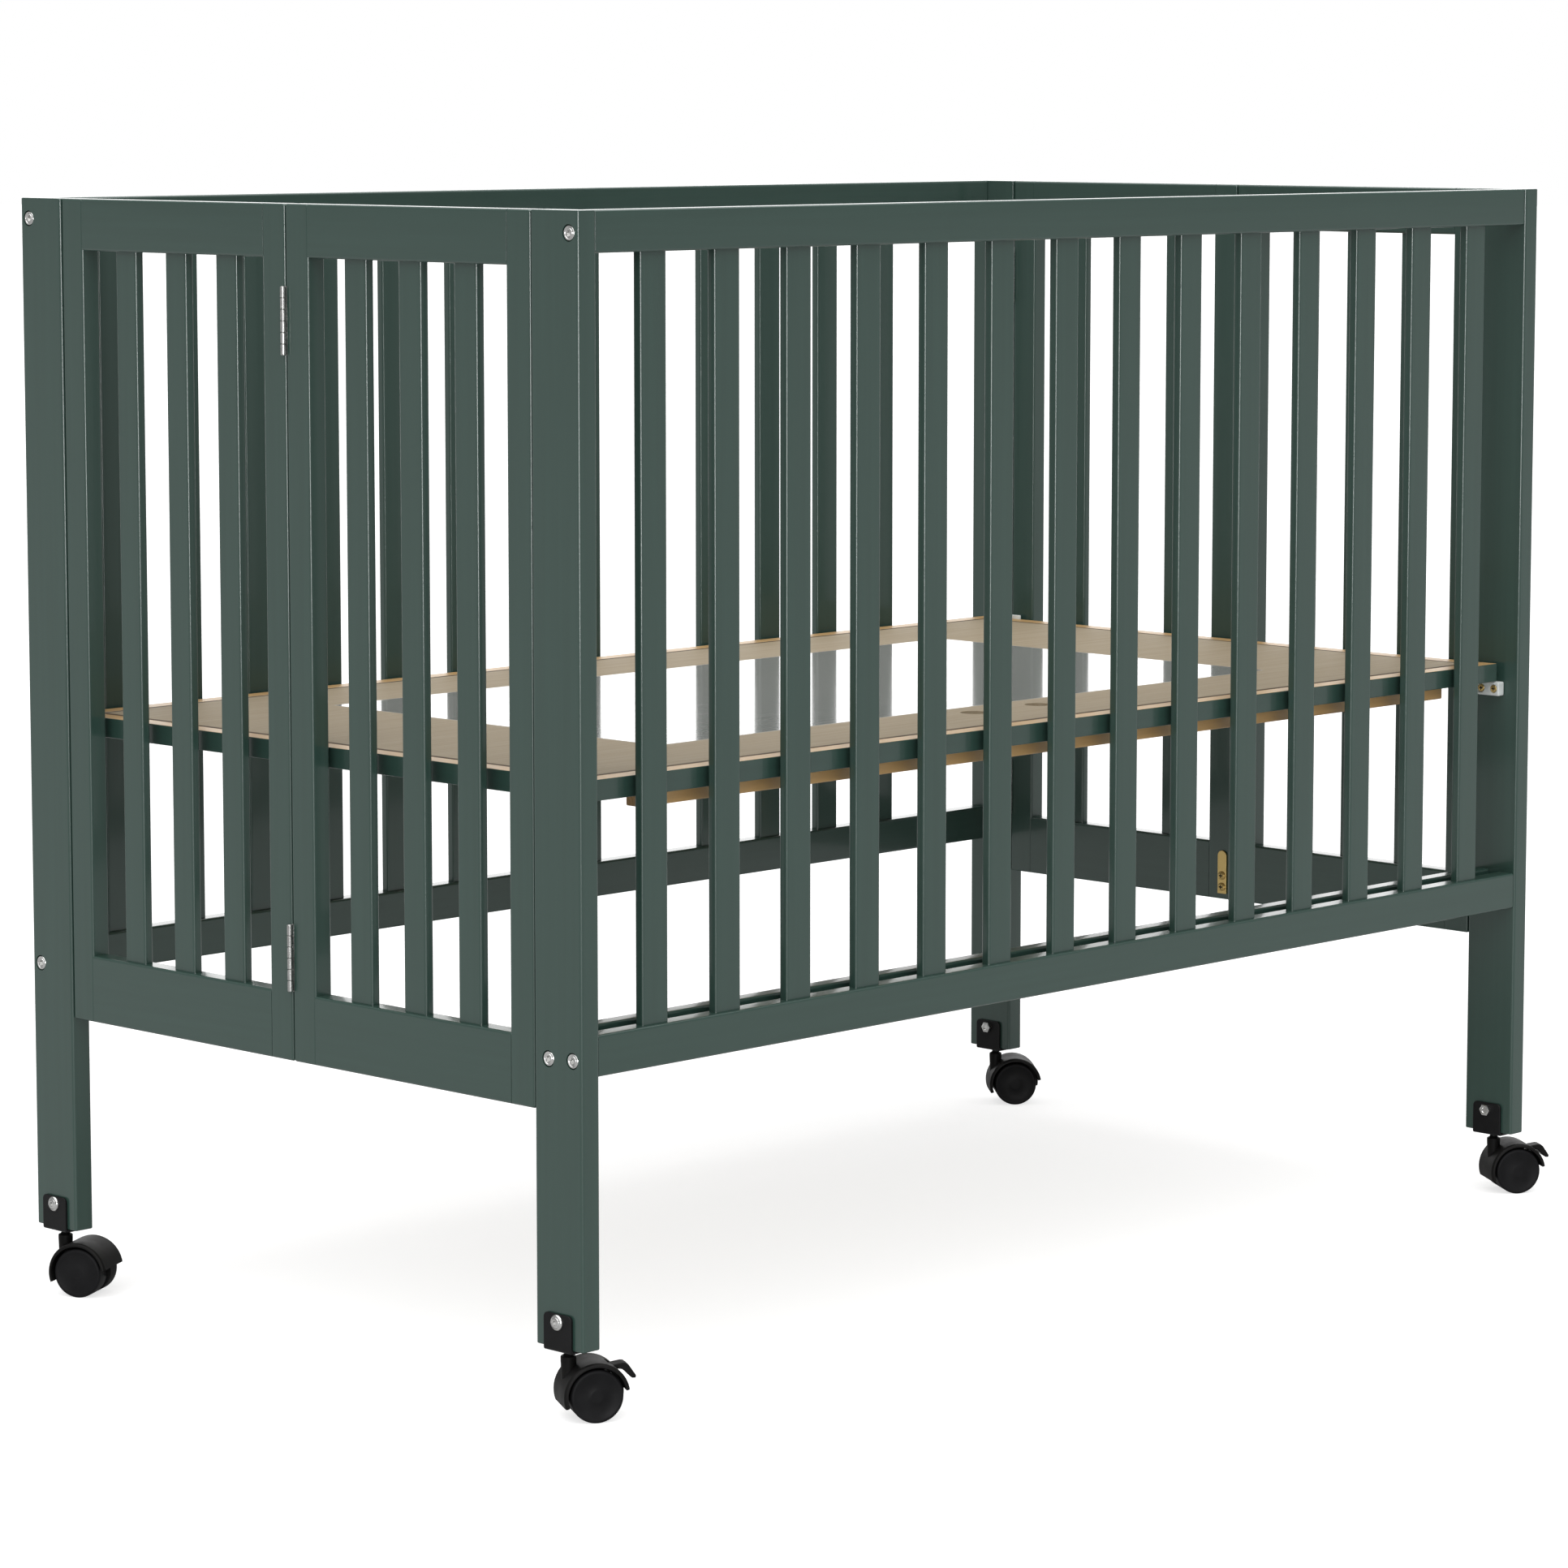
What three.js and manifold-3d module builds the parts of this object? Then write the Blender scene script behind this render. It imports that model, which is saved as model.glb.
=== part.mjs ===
// Folding timber playpen (a full-size portable crib on casters).
// Units are millimetres and +Z is up. X runs along the long sides, -Y is the front side.
// Both ends are pairs of half panels on butt hinges that fold inward, the mattress platform lifts about
// its back edge, and each post stands on a braked or free twin-wheel caster.
import * as THREE from 'three';
import { mergeVertices } from 'three/addons/utils/BufferGeometryUtils.js';
import Module from 'manifold-3d';

const wasm = await Module();
wasm.setup();

// ---------------------------------------------------------------- driving dimensions
const LENGTH = 1373;            // over the posts, along X
const WIDTH = 770;              // over the posts, along Y
const HEIGHT = 1060;            // floor to the top of the posts
const POST_BOTTOM = 66;         // floor to the foot of a post
const POST_X = 21.5;            // post thickness, along X
const POST_Y = 60;              // post width, along Y
const GAP = 0.3;                // clearance kept between pieces that touch

const RAIL_Y = 20;              // side rail thickness
const RAIL_RECESS = 1.5;        // side rail face behind the post face
const TOP_RAIL_Z = 37;          // side top rail height
const LOW_RAIL = [308, 345];    // side bottom rail, bottom and top
const SIDE_SLATS = 14;
const SLAT_X = 32;
const SLAT_Y = 10;
const INNER_RAIL = { y: 33.5, thick: 18, bottom: 311, top: 347 };

const PANEL_X = 20;             // end panel thickness
const PANEL_RECESS = 1;         // end panel face behind the post face
const STILE_Y = 31;
const END_TOP_Z = 48.5;         // end top rail height
const END_LOW_RAIL = [275, 339];
const END_SLATS = 3;
const END_SLAT_Y = 30;
const JOINT = 1.2;              // wood to wood at every hinged joint

const HINGE = {
  heights: { upper: 954.5, lower: 371.5 },
  tall: 62.6, knuckles: 6, radius: 2.6, bore: 1.6, pin: 1.3, reach: 18, plate: 1.3,
  proud: 3,                     // axis in front of the face the knuckle stands on
};

const PLATFORM = {
  end: 658, front: 22.5, back: 25, top: 565.5, thick: 19, border: 20, ledge: 10, deck: 9,
  pivotBack: 34, holeRadius: 13, holeX: 46.5, holeIn: 100,
};
const STRETCHER = { half: 581, y: [35, 53], z: [533.7, 546.2] };
const SUPPORT = { thick: 10, tall: 14.5, long: 30, inset: { front: 17.5, back: 22 }, screwGap: 16, scoop: 15 };
const STRAP = { thick: 3, tall: 22, ahead: 45, rise: 2.6, pin: 3, pinBore: 3.4, depth: 4 };
const LATCH = { wide: 12, tall: 48, thick: 1.8, bottom: 281.5, inset: 4 };

const FOOT = {                  // steel shoe that carries a caster
  wide: 35, tall: 34, bottom: 63, sheet: 2.5, boltZ: 89.5, boltRadius: 3, boltBore: 3.4,
  domeRadius: 7.3, domeTall: 3.6, nutRadius: 6.4, nutTall: 4.5,
};
const CASTER = {
  wheelRadius: 24, wheelWide: 17, web: 8, axle: 3, axleBore: 3.4, trail: 21, wide: 46,
  hoodOuter: 30, hoodInner: 26.5, hoodFrom: 10, hoodTo: 199,
  boss: 7.5, bossTop: 58, bossBottom: 37, stem: 4, stemBore: 4.6,
  head: 6.5, headTall: 3, recess: 8.5, recessDeep: 9,
};
const LEVER = { wide: 14, pivot: [15.6, 46.4], hub: 2.4 };

// where each caster trails at rest, in degrees from +X, and whether it has a brake lever
const CASTERS = [
  { name: 'front_left', side: -1, end: -1, trails: -30.2, brake: true },
  { name: 'front_right', side: -1, end: 1, trails: -34.4, brake: true },
  { name: 'back_left', side: 1, end: -1, trails: -62.6, brake: false },
  { name: 'back_right', side: 1, end: 1, trails: -41.4, brake: false },
];

// ---------------------------------------------------------------- finishes
const finish = (color, roughness, metalness) =>
  new THREE.MeshStandardMaterial({ color, roughness, metalness });
const GREEN = finish(0x42544d, 0.42, 0);
const PINE = finish(0xc19a6b, 0.5, 0);
const PLYWOOD = finish(0xb9ac9c, 0.2, 0);
const NICKEL = finish(0xc8c8c6, 0.25, 1);
const BRASS = finish(0xb59a5a, 0.3, 1);
const STEEL_BLACK = finish(0x1c1c1d, 0.45, 0.4);
const NYLON = finish(0xdadad6, 0.4, 0);
const PLASTIC_BLACK = finish(0x1a1a1b, 0.5, 0);

// ---------------------------------------------------------------- solids
function toSolid(geometry) {
  const bare = geometry.clone();
  for (const name of Object.keys(bare.attributes)) {
    if (name !== 'position') bare.deleteAttribute(name);
  }
  const merged = mergeVertices(bare, 1e-4);
  return new wasm.Manifold(new wasm.Mesh({
    numProp: 3,
    vertProperties: new Float32Array(merged.attributes.position.array),
    triVerts: new Uint32Array(merged.index.array),
  }));
}

function toGeometry(solid) {
  const mesh = solid.getMesh();
  const geometry = new THREE.BufferGeometry();
  geometry.setAttribute('position', new THREE.BufferAttribute(mesh.vertProperties, 3));
  geometry.setIndex(new THREE.BufferAttribute(mesh.triVerts, 1));
  geometry.computeVertexNormals();
  return geometry;
}

function block([x0, x1], [y0, y1], [z0, z1]) {
  const box = new THREE.BoxGeometry(x1 - x0, y1 - y0, z1 - z0);
  box.translate((x0 + x1) / 2, (y0 + y1) / 2, (z0 + z1) / 2);
  return toSolid(box);
}

// a round bar of one radius from one point to another along the named axis
function bar(axis, radius, from, length, sides = 16) {
  const cylinder = new THREE.CylinderGeometry(radius, radius, length, sides);
  cylinder.translate(0, length / 2, 0);
  if (axis === 'x') cylinder.rotateZ(-Math.PI / 2);
  if (axis === 'z') cylinder.rotateX(Math.PI / 2);
  cylinder.translate(...from);
  return toSolid(cylinder);
}

const join = (...solids) => solids.reduce((sum, next) => sum.add(next));
const cut = (body, ...tools) => tools.reduce((left, tool) => left.subtract(tool), body);

const playpen = new THREE.Group();

function place(name, solid, material, parent = playpen) {
  const mesh = new THREE.Mesh(toGeometry(solid), material);
  mesh.name = name;
  parent.add(mesh);
  return mesh;
}

// ---------------------------------------------------------------- derived places
const halfX = LENGTH / 2;
const halfY = WIDTH / 2;
const postInnerX = halfX - POST_X;          // inner face of the posts
const postInnerY = halfY - POST_Y;          // side face of a post, towards the end panel
const panelInnerX = halfX - PANEL_RECESS - PANEL_X;
const postHingeX = postInnerX - HINGE.proud;
const postHingeY = postInnerY - JOINT / 2;
const centreHingeX = halfX - PANEL_RECESS + HINGE.proud;
const pivotZ = PLATFORM.top - PLATFORM.thick / 2;
const span = (a, b) => [Math.min(a, b), Math.max(a, b)];

// the recess for one hinge plate, cut into the wood beside a joint. The joint's middle plane is at y,
// the wood lies on its `wood` side, and the plate reaches from the axis at x towards `towards`
function mortises(x, towards, y, wood) {
  const deep = HINGE.plate + 0.45;
  return Object.values(HINGE.heights).map((z) => block(
    span(x, x + towards * (HINGE.reach + GAP)),
    span(y, y + wood * deep),
    [z - HINGE.tall / 2 - GAP, z + HINGE.tall / 2 + GAP],
  ));
}

// ---------------------------------------------------------------- posts and the caster shoes
function post(end, side) {
  const outerX = end * halfX;
  const centreX = end * (halfX - POST_X / 2);
  const centreY = side * (halfY - POST_Y / 2);
  let solid = block(
    span(outerX, end * postInnerX),
    span(side * halfY, side * postInnerY),
    [POST_BOTTOM, HEIGHT],
  );
  solid = cut(
    solid,
    bar('x', FOOT.boltBore, [centreX - POST_X, centreY, FOOT.boltZ], 2 * POST_X, 12),
    bar('z', CASTER.recess, [centreX, centreY, POST_BOTTOM - 1], CASTER.recessDeep + 1, 16),
    ...mortises(end * postHingeX, end, side * postHingeY, side),
  );
  if (side > 0) {
    const pivot = bar('x', STRAP.pinBore, [-(STRAP.depth + 1.5), 0, 0], 2 * (STRAP.depth + 1.5), 14);
    solid = cut(solid, pivot.translate([end * postInnerX, halfY - PLATFORM.pivotBack, pivotZ]));
  }
  return solid;
}

// U-shaped sheet round the foot of the post, joined here with its through bolt and nut
function shoe(end, side) {
  const centreX = end * (halfX - POST_X / 2);
  const centreY = side * (halfY - POST_Y / 2);
  const y = [centreY - FOOT.wide / 2, centreY + FOOT.wide / 2];
  const ear = POST_X / 2 + GAP;
  const top = FOOT.bottom + FOOT.tall;
  const shell = join(
    block([centreX - ear - FOOT.sheet, centreX + ear + FOOT.sheet], y,
      [FOOT.bottom, FOOT.bottom + FOOT.sheet]),
    block([centreX - ear - FOOT.sheet, centreX - ear], y, [FOOT.bottom, top]),
    block([centreX + ear, centreX + ear + FOOT.sheet], y, [FOOT.bottom, top]),
  );
  const reach = ear + FOOT.sheet;
  const shaft = bar('x', FOOT.boltRadius, [centreX - reach, centreY, FOOT.boltZ], 2 * reach, 12);
  const dome = domeHead();
  if (end < 0) dome.rotateY(Math.PI);
  dome.translate(centreX + end * reach, centreY, FOOT.boltZ);
  const nutFrom = end > 0 ? centreX - reach - FOOT.nutTall : centreX + reach;
  const nut = bar('x', FOOT.nutRadius, [nutFrom, centreY, FOOT.boltZ], FOOT.nutTall, 6);
  return cut(
    join(shell, shaft, toSolid(dome), nut),
    bar('z', CASTER.stemBore, [centreX, centreY, FOOT.bottom - 1], FOOT.sheet + 2, 12),
  );
}

// a shallow dome on the X axis, flat side at x = 0
function domeHead() {
  const profile = [new THREE.Vector2(0, 0), new THREE.Vector2(FOOT.domeRadius, 0)];
  for (let step = 1; step <= 3; step += 1) {
    const angle = (step / 3) * (Math.PI / 2);
    profile.push(new THREE.Vector2(
      step === 3 ? 0 : FOOT.domeRadius * Math.cos(angle),
      FOOT.domeTall * Math.sin(angle),
    ));
  }
  const dome = new THREE.LatheGeometry(profile, 14);
  dome.rotateZ(-Math.PI / 2);
  return dome;
}

// ---------------------------------------------------------------- long sides
function sidePanel(side) {
  const outer = side * (halfY - RAIL_RECESS);
  const y = span(outer, outer - side * RAIL_Y);
  const middle = outer - side * (RAIL_Y / 2);
  const x = [-postInnerX + GAP, postInnerX - GAP];
  const slats = [];
  const space = (2 * postInnerX - SIDE_SLATS * SLAT_X) / (SIDE_SLATS + 1);
  for (let i = 0; i < SIDE_SLATS; i += 1) {
    const left = -postInnerX + space + i * (SLAT_X + space);
    slats.push(block(
      [left, left + SLAT_X],
      [middle - SLAT_Y / 2, middle + SLAT_Y / 2],
      [LOW_RAIL[1] - 1, HEIGHT - TOP_RAIL_Z + 1],
    ));
  }
  return join(
    block(x, y, [HEIGHT - TOP_RAIL_Z, HEIGHT]),
    block(x, y, LOW_RAIL),
    ...slats,
  );
}

function innerRail() {
  const y = -halfY + INNER_RAIL.y;
  return block(
    [-postInnerX + GAP, postInnerX - GAP],
    [y, y + INNER_RAIL.thick],
    [INNER_RAIL.bottom, INNER_RAIL.top],
  );
}

// ---------------------------------------------------------------- folding ends
function endPanel(end, side) {
  const x = span(end * (halfX - PANEL_RECESS), end * panelInnerX);
  const near = side * JOINT / 2;
  const far = side * (postInnerY - JOINT);
  const stile = (edge, towards) => block(
    x, span(edge, edge + towards * STILE_Y), [END_LOW_RAIL[0], HEIGHT]);
  const rails = span(near + side, far - side);
  const space = (Math.abs(far - near) - 2 * STILE_Y - END_SLATS * END_SLAT_Y) / (END_SLATS + 1);
  const middleX = (x[0] + x[1]) / 2;
  const slats = [];
  for (let i = 0; i < END_SLATS; i += 1) {
    const edge = near + side * (STILE_Y + space + i * (END_SLAT_Y + space));
    slats.push(block(
      [middleX - SLAT_Y / 2, middleX + SLAT_Y / 2],
      span(edge, edge + side * END_SLAT_Y),
      [END_LOW_RAIL[1] - 1, HEIGHT - END_TOP_Z + 1],
    ));
  }
  return cut(
    join(
      stile(near, side),
      stile(far, -side),
      block(x, rails, [HEIGHT - END_TOP_Z, HEIGHT]),
      block(x, rails, END_LOW_RAIL),
      ...slats,
    ),
    ...mortises(end * postHingeX, end, side * postHingeY, -side),
    ...mortises(end * centreHingeX, -end, 0, side),
  );
}

// One butt hinge about the Z axis at the origin: both plates reach towards -X, the first leaf lies on
// the -Y side and carries the open knuckles, the second on +Y carries the pin.
function hingeLeaves() {
  const { tall, knuckles, radius, bore, pin, reach, plate } = HINGE;
  const each = tall / knuckles;
  const play = GAP / 2;
  const leaf = (side, first) => {
    const y = span(side * play, side * (play + plate));
    const pieces = [block([-reach, -radius - GAP], y, [-tall / 2, tall / 2])];
    for (let k = first; k < knuckles; k += 2) {
      const low = -tall / 2 + k * each + play;
      const high = low + each - GAP;
      pieces.push(bar('z', radius, [0, 0, low], high - low, 8));
      pieces.push(block([-radius - 2 * GAP, -bore - 0.2], y, [low, high]));
    }
    return pieces;
  };
  const open = cut(join(...leaf(-1, 0)), bar('z', bore, [0, 0, -tall], 2 * tall, 8));
  const pinned = join(...leaf(1, 1), bar('z', pin, [0, 0, -tall / 2], tall, 8));
  return [open, pinned];
}

function addHinge(name, [first, second], x, y, towards, flip) {
  const [open, pinned] = hingeLeaves();
  for (const z of ['upper', 'lower']) {
    const group = new THREE.Group();
    group.position.set(x, y, HINGE.heights[z]);
    group.rotation.set(flip ? Math.PI : 0, 0, towards > 0 ? Math.PI : 0, 'ZYX');
    place(`${name}_${z}_hinge_${first}_leaf`, open, NICKEL, group);
    place(`${name}_${z}_hinge_${second}_leaf`, pinned, NICKEL, group);
    playpen.add(group);
  }
}

// ---------------------------------------------------------------- mattress platform
function platformFrame() {
  const { end, front, back, top, thick, border, ledge, deck } = PLATFORM;
  const y = [-halfY + front, halfY - back];
  const inner = (b) => [[-end + b, end - b], [y[0] + b, y[1] - b]];
  const [pocketX, pocketY] = inner(border);
  const [openX, openY] = inner(border + ledge);
  return cut(
    block([-end, end], y, [top - thick, top]),
    block(pocketX, pocketY, [top - deck - GAP, top + 1]),
    block(openX, openY, [top - thick - 1, top]),
  );
}

function platformDeck() {
  const { end, front, back, top, border, deck, holeRadius, holeX, holeIn } = PLATFORM;
  const margin = border + GAP;
  const slab = block(
    [-end + margin, end - margin],
    [-halfY + front + margin, halfY - back - margin],
    [top - deck, top],
  );
  const y = -halfY + front + holeIn;
  return cut(slab, ...[-1, 1].map((s) =>
    bar('z', holeRadius, [s * holeX, y, top - deck - 1], deck + 2, 24)));
}

function stretcher() {
  const { half, y, z } = STRETCHER;
  return block([-half, half], [-halfY + y[0], -halfY + y[1]], z);
}

// moulded block under a corner of the platform, with two dished screw seats. The back ones are scooped
// out round the pivot, so that the back edge of the platform can turn
function support(end, side) {
  const { thick, tall, long, inset, screwGap, scoop } = SUPPORT;
  const top = PLATFORM.top - PLATFORM.thick - GAP;
  const face = end * (postInnerX - GAP);
  const x = span(face, face - end * thick);
  const outer = side * (halfY - (side > 0 ? inset.back : inset.front));
  const y = span(outer, outer - side * long);
  const middle = (y[0] + y[1]) / 2;
  const seatX = end > 0 ? x[0] - 1 : x[1] - 2;
  const seated = cut(
    block(x, y, [top - tall, top]),
    ...[-0.5, 0.5].map((s) =>
      bar('x', 4.6, [seatX, middle + s * screwGap, top - tall / 2], 3, 12)),
  );
  if (side < 0) return seated;
  return cut(seated, bar('x', scoop, [x[0] - 1, halfY - PLATFORM.pivotBack, pivotZ], thick + 2, 24));
}

// nylon strap on the end of the platform, with the pivot pin that turns in the back post
function pivotStrap(end) {
  const { thick, tall, ahead, rise, pin, depth } = STRAP;
  const face = end * (PLATFORM.end + GAP);
  const pivotY = halfY - PLATFORM.pivotBack;
  const pinEnd = end * (postInnerX + depth);
  const pinX = span(face, pinEnd);
  const plateX = span(face, face + end * thick);
  return join(
    block(plateX, [pivotY - ahead, pivotY], [pivotZ + rise - tall / 2, pivotZ + rise + tall / 2]),
    bar('x', tall / 2, [plateX[0], pivotY, pivotZ + rise], thick, 24),
    bar('x', pin, [pinX[0], pivotY, pivotZ], pinX[1] - pinX[0], 14),
  );
}

// brass tongue screwed to the foot of a centre stile, inside the pen
function latchPlate(end) {
  const { wide, tall, thick, bottom, inset } = LATCH;
  const radius = wide / 2;
  const outline = new THREE.Shape();
  outline.moveTo(-radius, 0);
  outline.lineTo(radius, 0);
  outline.lineTo(radius, tall - radius);
  outline.absarc(0, tall - radius, radius, 0, Math.PI, false);
  outline.closePath();
  const plate = new THREE.ExtrudeGeometry(outline, {
    depth: thick, bevelEnabled: false, curveSegments: 10,
  });
  plate.rotateX(Math.PI / 2);
  plate.rotateZ(Math.PI / 2);
  const face = end * (panelInnerX - GAP);
  plate.translate(end > 0 ? face - thick : face, JOINT / 2 + inset + radius, bottom);
  return toSolid(plate);
}

// ---------------------------------------------------------------- casters
// Each caster is built trailing along +X with its stem on the Z axis, then turned.
function casterHousing(brake) {
  const c = CASTER;
  const arch = new THREE.Shape();
  const from = THREE.MathUtils.degToRad(c.hoodFrom);
  const to = THREE.MathUtils.degToRad(c.hoodTo);
  arch.absarc(0, 0, c.hoodOuter, from, to, false);
  arch.absarc(0, 0, c.hoodInner, to, from, true);
  arch.closePath();
  const hood = new THREE.ExtrudeGeometry(arch, {
    depth: c.wide, bevelEnabled: false, curveSegments: 11,
  });
  hood.rotateX(Math.PI / 2);
  hood.translate(c.trail, c.wide / 2, c.wheelRadius);
  const web = bar('y', c.hoodInner + 1, [c.trail, -c.web / 2, c.wheelRadius], c.web, 22)
    .intersect(block([-c.hoodOuter, c.trail + c.hoodOuter], [-c.web, c.web],
      [c.wheelRadius - 6, 2 * c.hoodOuter + c.wheelRadius]));
  const boss = bar('z', c.boss, [0, 0, c.bossBottom], c.bossTop - c.bossBottom, 14)
    .subtract(bar('y', c.hoodInner, [c.trail, -c.boss * 2, c.wheelRadius], c.boss * 4, 22)
      .subtract(block([-c.hoodOuter, c.trail], [-c.web / 2, c.web / 2], [0, 2 * c.hoodOuter])));
  const stemTop = FOOT.bottom + FOOT.sheet + GAP + 0.3;
  const stem = join(
    bar('z', c.stem, [0, 0, c.bossTop - 1], stemTop - c.bossTop + 2, 10),
    bar('z', c.head, [0, 0, stemTop], c.headTall, 12),
  );
  let housing = cut(
    join(toSolid(hood), web, boss, stem),
    bar('y', c.axleBore, [c.trail, -c.wide, c.wheelRadius], 2 * c.wide, 10),
  );
  if (brake) housing = cut(housing, leverRoom());
  return housing;
}

// the slot through the hood and web that the brake lever works in
function leverRoom() {
  const [x, z] = LEVER.pivot;
  return block(
    [CASTER.trail + x - 3.4, CASTER.trail + CASTER.hoodOuter + 20],
    [-LEVER.wide / 2 - 0.6, LEVER.wide / 2 + 0.6],
    [z - 9, z + 12],
  );
}

// arm with a round hub and a pad that turns down, pressed with a foot
function brakeLever() {
  const { wide, pivot: [x, z], hub } = LEVER;
  const side = new THREE.Shape();
  [[-1, 1], [11, 4.6], [14.6, 3], [22, -8.6], [19.6, -9.6], [12.4, -0.4], [9.6, 1], [1, -1.8]]
    .forEach(([out, up], i) => (i ? side.lineTo(out, up) : side.moveTo(out, up)));
  side.closePath();
  const arm = new THREE.ExtrudeGeometry(side, { depth: wide, bevelEnabled: false });
  arm.rotateX(Math.PI / 2);
  arm.translate(CASTER.trail + x, wide / 2, z);
  return join(toSolid(arm), bar('y', hub, [CASTER.trail + x, -wide / 2, z], wide, 14));
}

// two solid treads with rounded shoulders, and the axle that joins them
function wheelPair() {
  const c = CASTER;
  const inner = c.web / 2 + 0.5;
  const outer = inner + c.wheelWide;
  const profile = [[0, inner], [c.wheelRadius - 1, inner], [c.wheelRadius, inner + 1],
    [c.wheelRadius, outer - 2.6], [c.wheelRadius - 2.6, outer], [0, outer]]
    .map(([r, h]) => new THREE.Vector2(r, h));
  const tread = new THREE.LatheGeometry(profile, 24);
  const other = tread.clone();
  other.rotateX(Math.PI);
  const pair = join(
    toSolid(tread),
    toSolid(other),
    bar('y', c.axle, [0, -inner - 1, 0], 2 * inner + 2, 10),
  );
  return pair.translate([c.trail, 0, c.wheelRadius]);
}

function addCaster({ name, side, end, trails, brake }) {
  const group = new THREE.Group();
  group.position.set(end * (halfX - POST_X / 2), side * (halfY - POST_Y / 2), 0);
  group.rotation.z = THREE.MathUtils.degToRad(trails);
  place(`${name}_caster_housing`, casterHousing(brake), PLASTIC_BLACK, group);
  place(`${name}_caster_wheels`, wheelPair(), PLASTIC_BLACK, group);
  if (brake) place(`${name}_brake_lever`, brakeLever(), PLASTIC_BLACK, group);
  playpen.add(group);
}

// ---------------------------------------------------------------- assembly
const ends = { left: -1, right: 1 };
const sides = { front: -1, back: 1 };
for (const [sideName, side] of Object.entries(sides)) {
  place(`${sideName}_side_panel`, sidePanel(side), GREEN);
  for (const [endName, end] of Object.entries(ends)) {
    place(`${sideName}_${endName}_post`, post(end, side), GREEN);
    place(`${sideName}_${endName}_caster_shoe`, shoe(end, side), STEEL_BLACK);
    place(`${sideName}_${endName}_platform_support`, support(end, side), NYLON);
    place(`${endName}_${sideName}_end_panel`, endPanel(end, side), GREEN);
    addHinge(`${endName}_${sideName}`, ['post', 'panel'],
      end * postHingeX, side * postHingeY, end, side * end < 0);
  }
}
for (const [endName, end] of Object.entries(ends)) {
  addHinge(`${endName}_centre`, end < 0 ? ['back', 'front'] : ['front', 'back'],
    end * centreHingeX, 0, -end, false);
  place(`${endName}_latch_plate`, latchPlate(end), BRASS);
  place(`${endName}_platform_pivot`, pivotStrap(end), NYLON);
}
place('front_inner_rail', innerRail(), GREEN);
place('platform_frame', platformFrame(), PINE);
place('platform_deck', platformDeck(), PLYWOOD);
place('platform_stretcher', stretcher(), PINE);
CASTERS.forEach(addCaster);

// the origin is the middle of the part's own box, on the floor
playpen.updateMatrixWorld(true);
const overall = new THREE.Box3().setFromObject(playpen);
const middle = overall.getCenter(new THREE.Vector3());
playpen.position.set(-middle.x, -middle.y, -overall.min.z);

export default playpen;
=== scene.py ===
"""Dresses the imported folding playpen: turned, swept and carved pieces over the fixed frame."""

from math import cos, pi, radians, sin

import bpy
import numpy as np
from mathutils import Matrix, Vector


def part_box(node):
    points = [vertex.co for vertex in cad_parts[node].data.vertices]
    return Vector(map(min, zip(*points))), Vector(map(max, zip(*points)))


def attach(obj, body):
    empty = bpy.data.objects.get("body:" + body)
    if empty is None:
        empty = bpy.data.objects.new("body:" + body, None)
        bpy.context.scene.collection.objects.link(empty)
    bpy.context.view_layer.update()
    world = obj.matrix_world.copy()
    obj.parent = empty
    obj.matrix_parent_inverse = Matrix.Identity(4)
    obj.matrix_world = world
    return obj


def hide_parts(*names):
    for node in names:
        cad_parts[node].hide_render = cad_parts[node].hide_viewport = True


bl_info = {
    "name": "Folding playpen dresser",
    "version": (1, 0, 0),
    "blender": (4, 5, 0),
    "location": "3D View > Sidebar > Playpen",
    "description": "Builds the timber, hinges, platform and casters of a folding playpen",
    "category": "Object",
}

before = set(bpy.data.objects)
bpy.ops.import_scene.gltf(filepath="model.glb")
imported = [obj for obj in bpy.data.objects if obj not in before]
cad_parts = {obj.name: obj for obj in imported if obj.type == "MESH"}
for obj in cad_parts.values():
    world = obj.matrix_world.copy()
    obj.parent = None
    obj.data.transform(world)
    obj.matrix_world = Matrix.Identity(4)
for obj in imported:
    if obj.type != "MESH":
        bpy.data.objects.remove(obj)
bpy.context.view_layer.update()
ENDS = {"left": -1, "right": 1}
SIDES = {"front": -1, "back": 1}
LOW = np.array(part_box("front_left_post")[0])
HIGH = np.array(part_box("back_right_post")[1])
CENTRE = np.array([(LOW[0] + HIGH[0]) / 2, (LOW[1] + HIGH[1]) / 2, 0.0])
HALF_X, HALF_Y = (HIGH - LOW)[:2] * 500
TOP = float(HIGH[2]) * 1000


def box_mm(node):
    """A CAD node's lowest and highest corners, in millimetres from the middle of the pen."""
    return tuple((np.array(corner) - CENTRE) * 1000 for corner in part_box(node))


# ------------------------------------------------------------------ sizes and colours
class TimberSettings(bpy.types.PropertyGroup):
    paint: bpy.props.FloatVectorProperty(
        name="Paint", description="Colour of the lacquer on the timber",
        subtype="COLOR", size=3, min=0, max=1, default=(0.028, 0.062, 0.050))
    post_edge: bpy.props.FloatProperty(
        name="Post edge", description="Rounding of the posts, in millimetres", default=2.8, min=0.5, max=6)
    rail_edge: bpy.props.FloatProperty(
        name="Rail edge", description="Rounding of rails and stiles, in millimetres", default=2.4, min=0.5, max=6)
    slat_edge: bpy.props.FloatProperty(
        name="Slat edge", description="Rounding of the slats, in millimetres", default=2.6, min=0.5, max=4.5)
    slats: bpy.props.IntProperty(
        name="Slats", description="Slats in each long side", default=14, min=2, max=30)
    end_slats: bpy.props.IntProperty(
        name="End slats", description="Slats in each half of a folding end", default=3, min=1, max=8)


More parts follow.
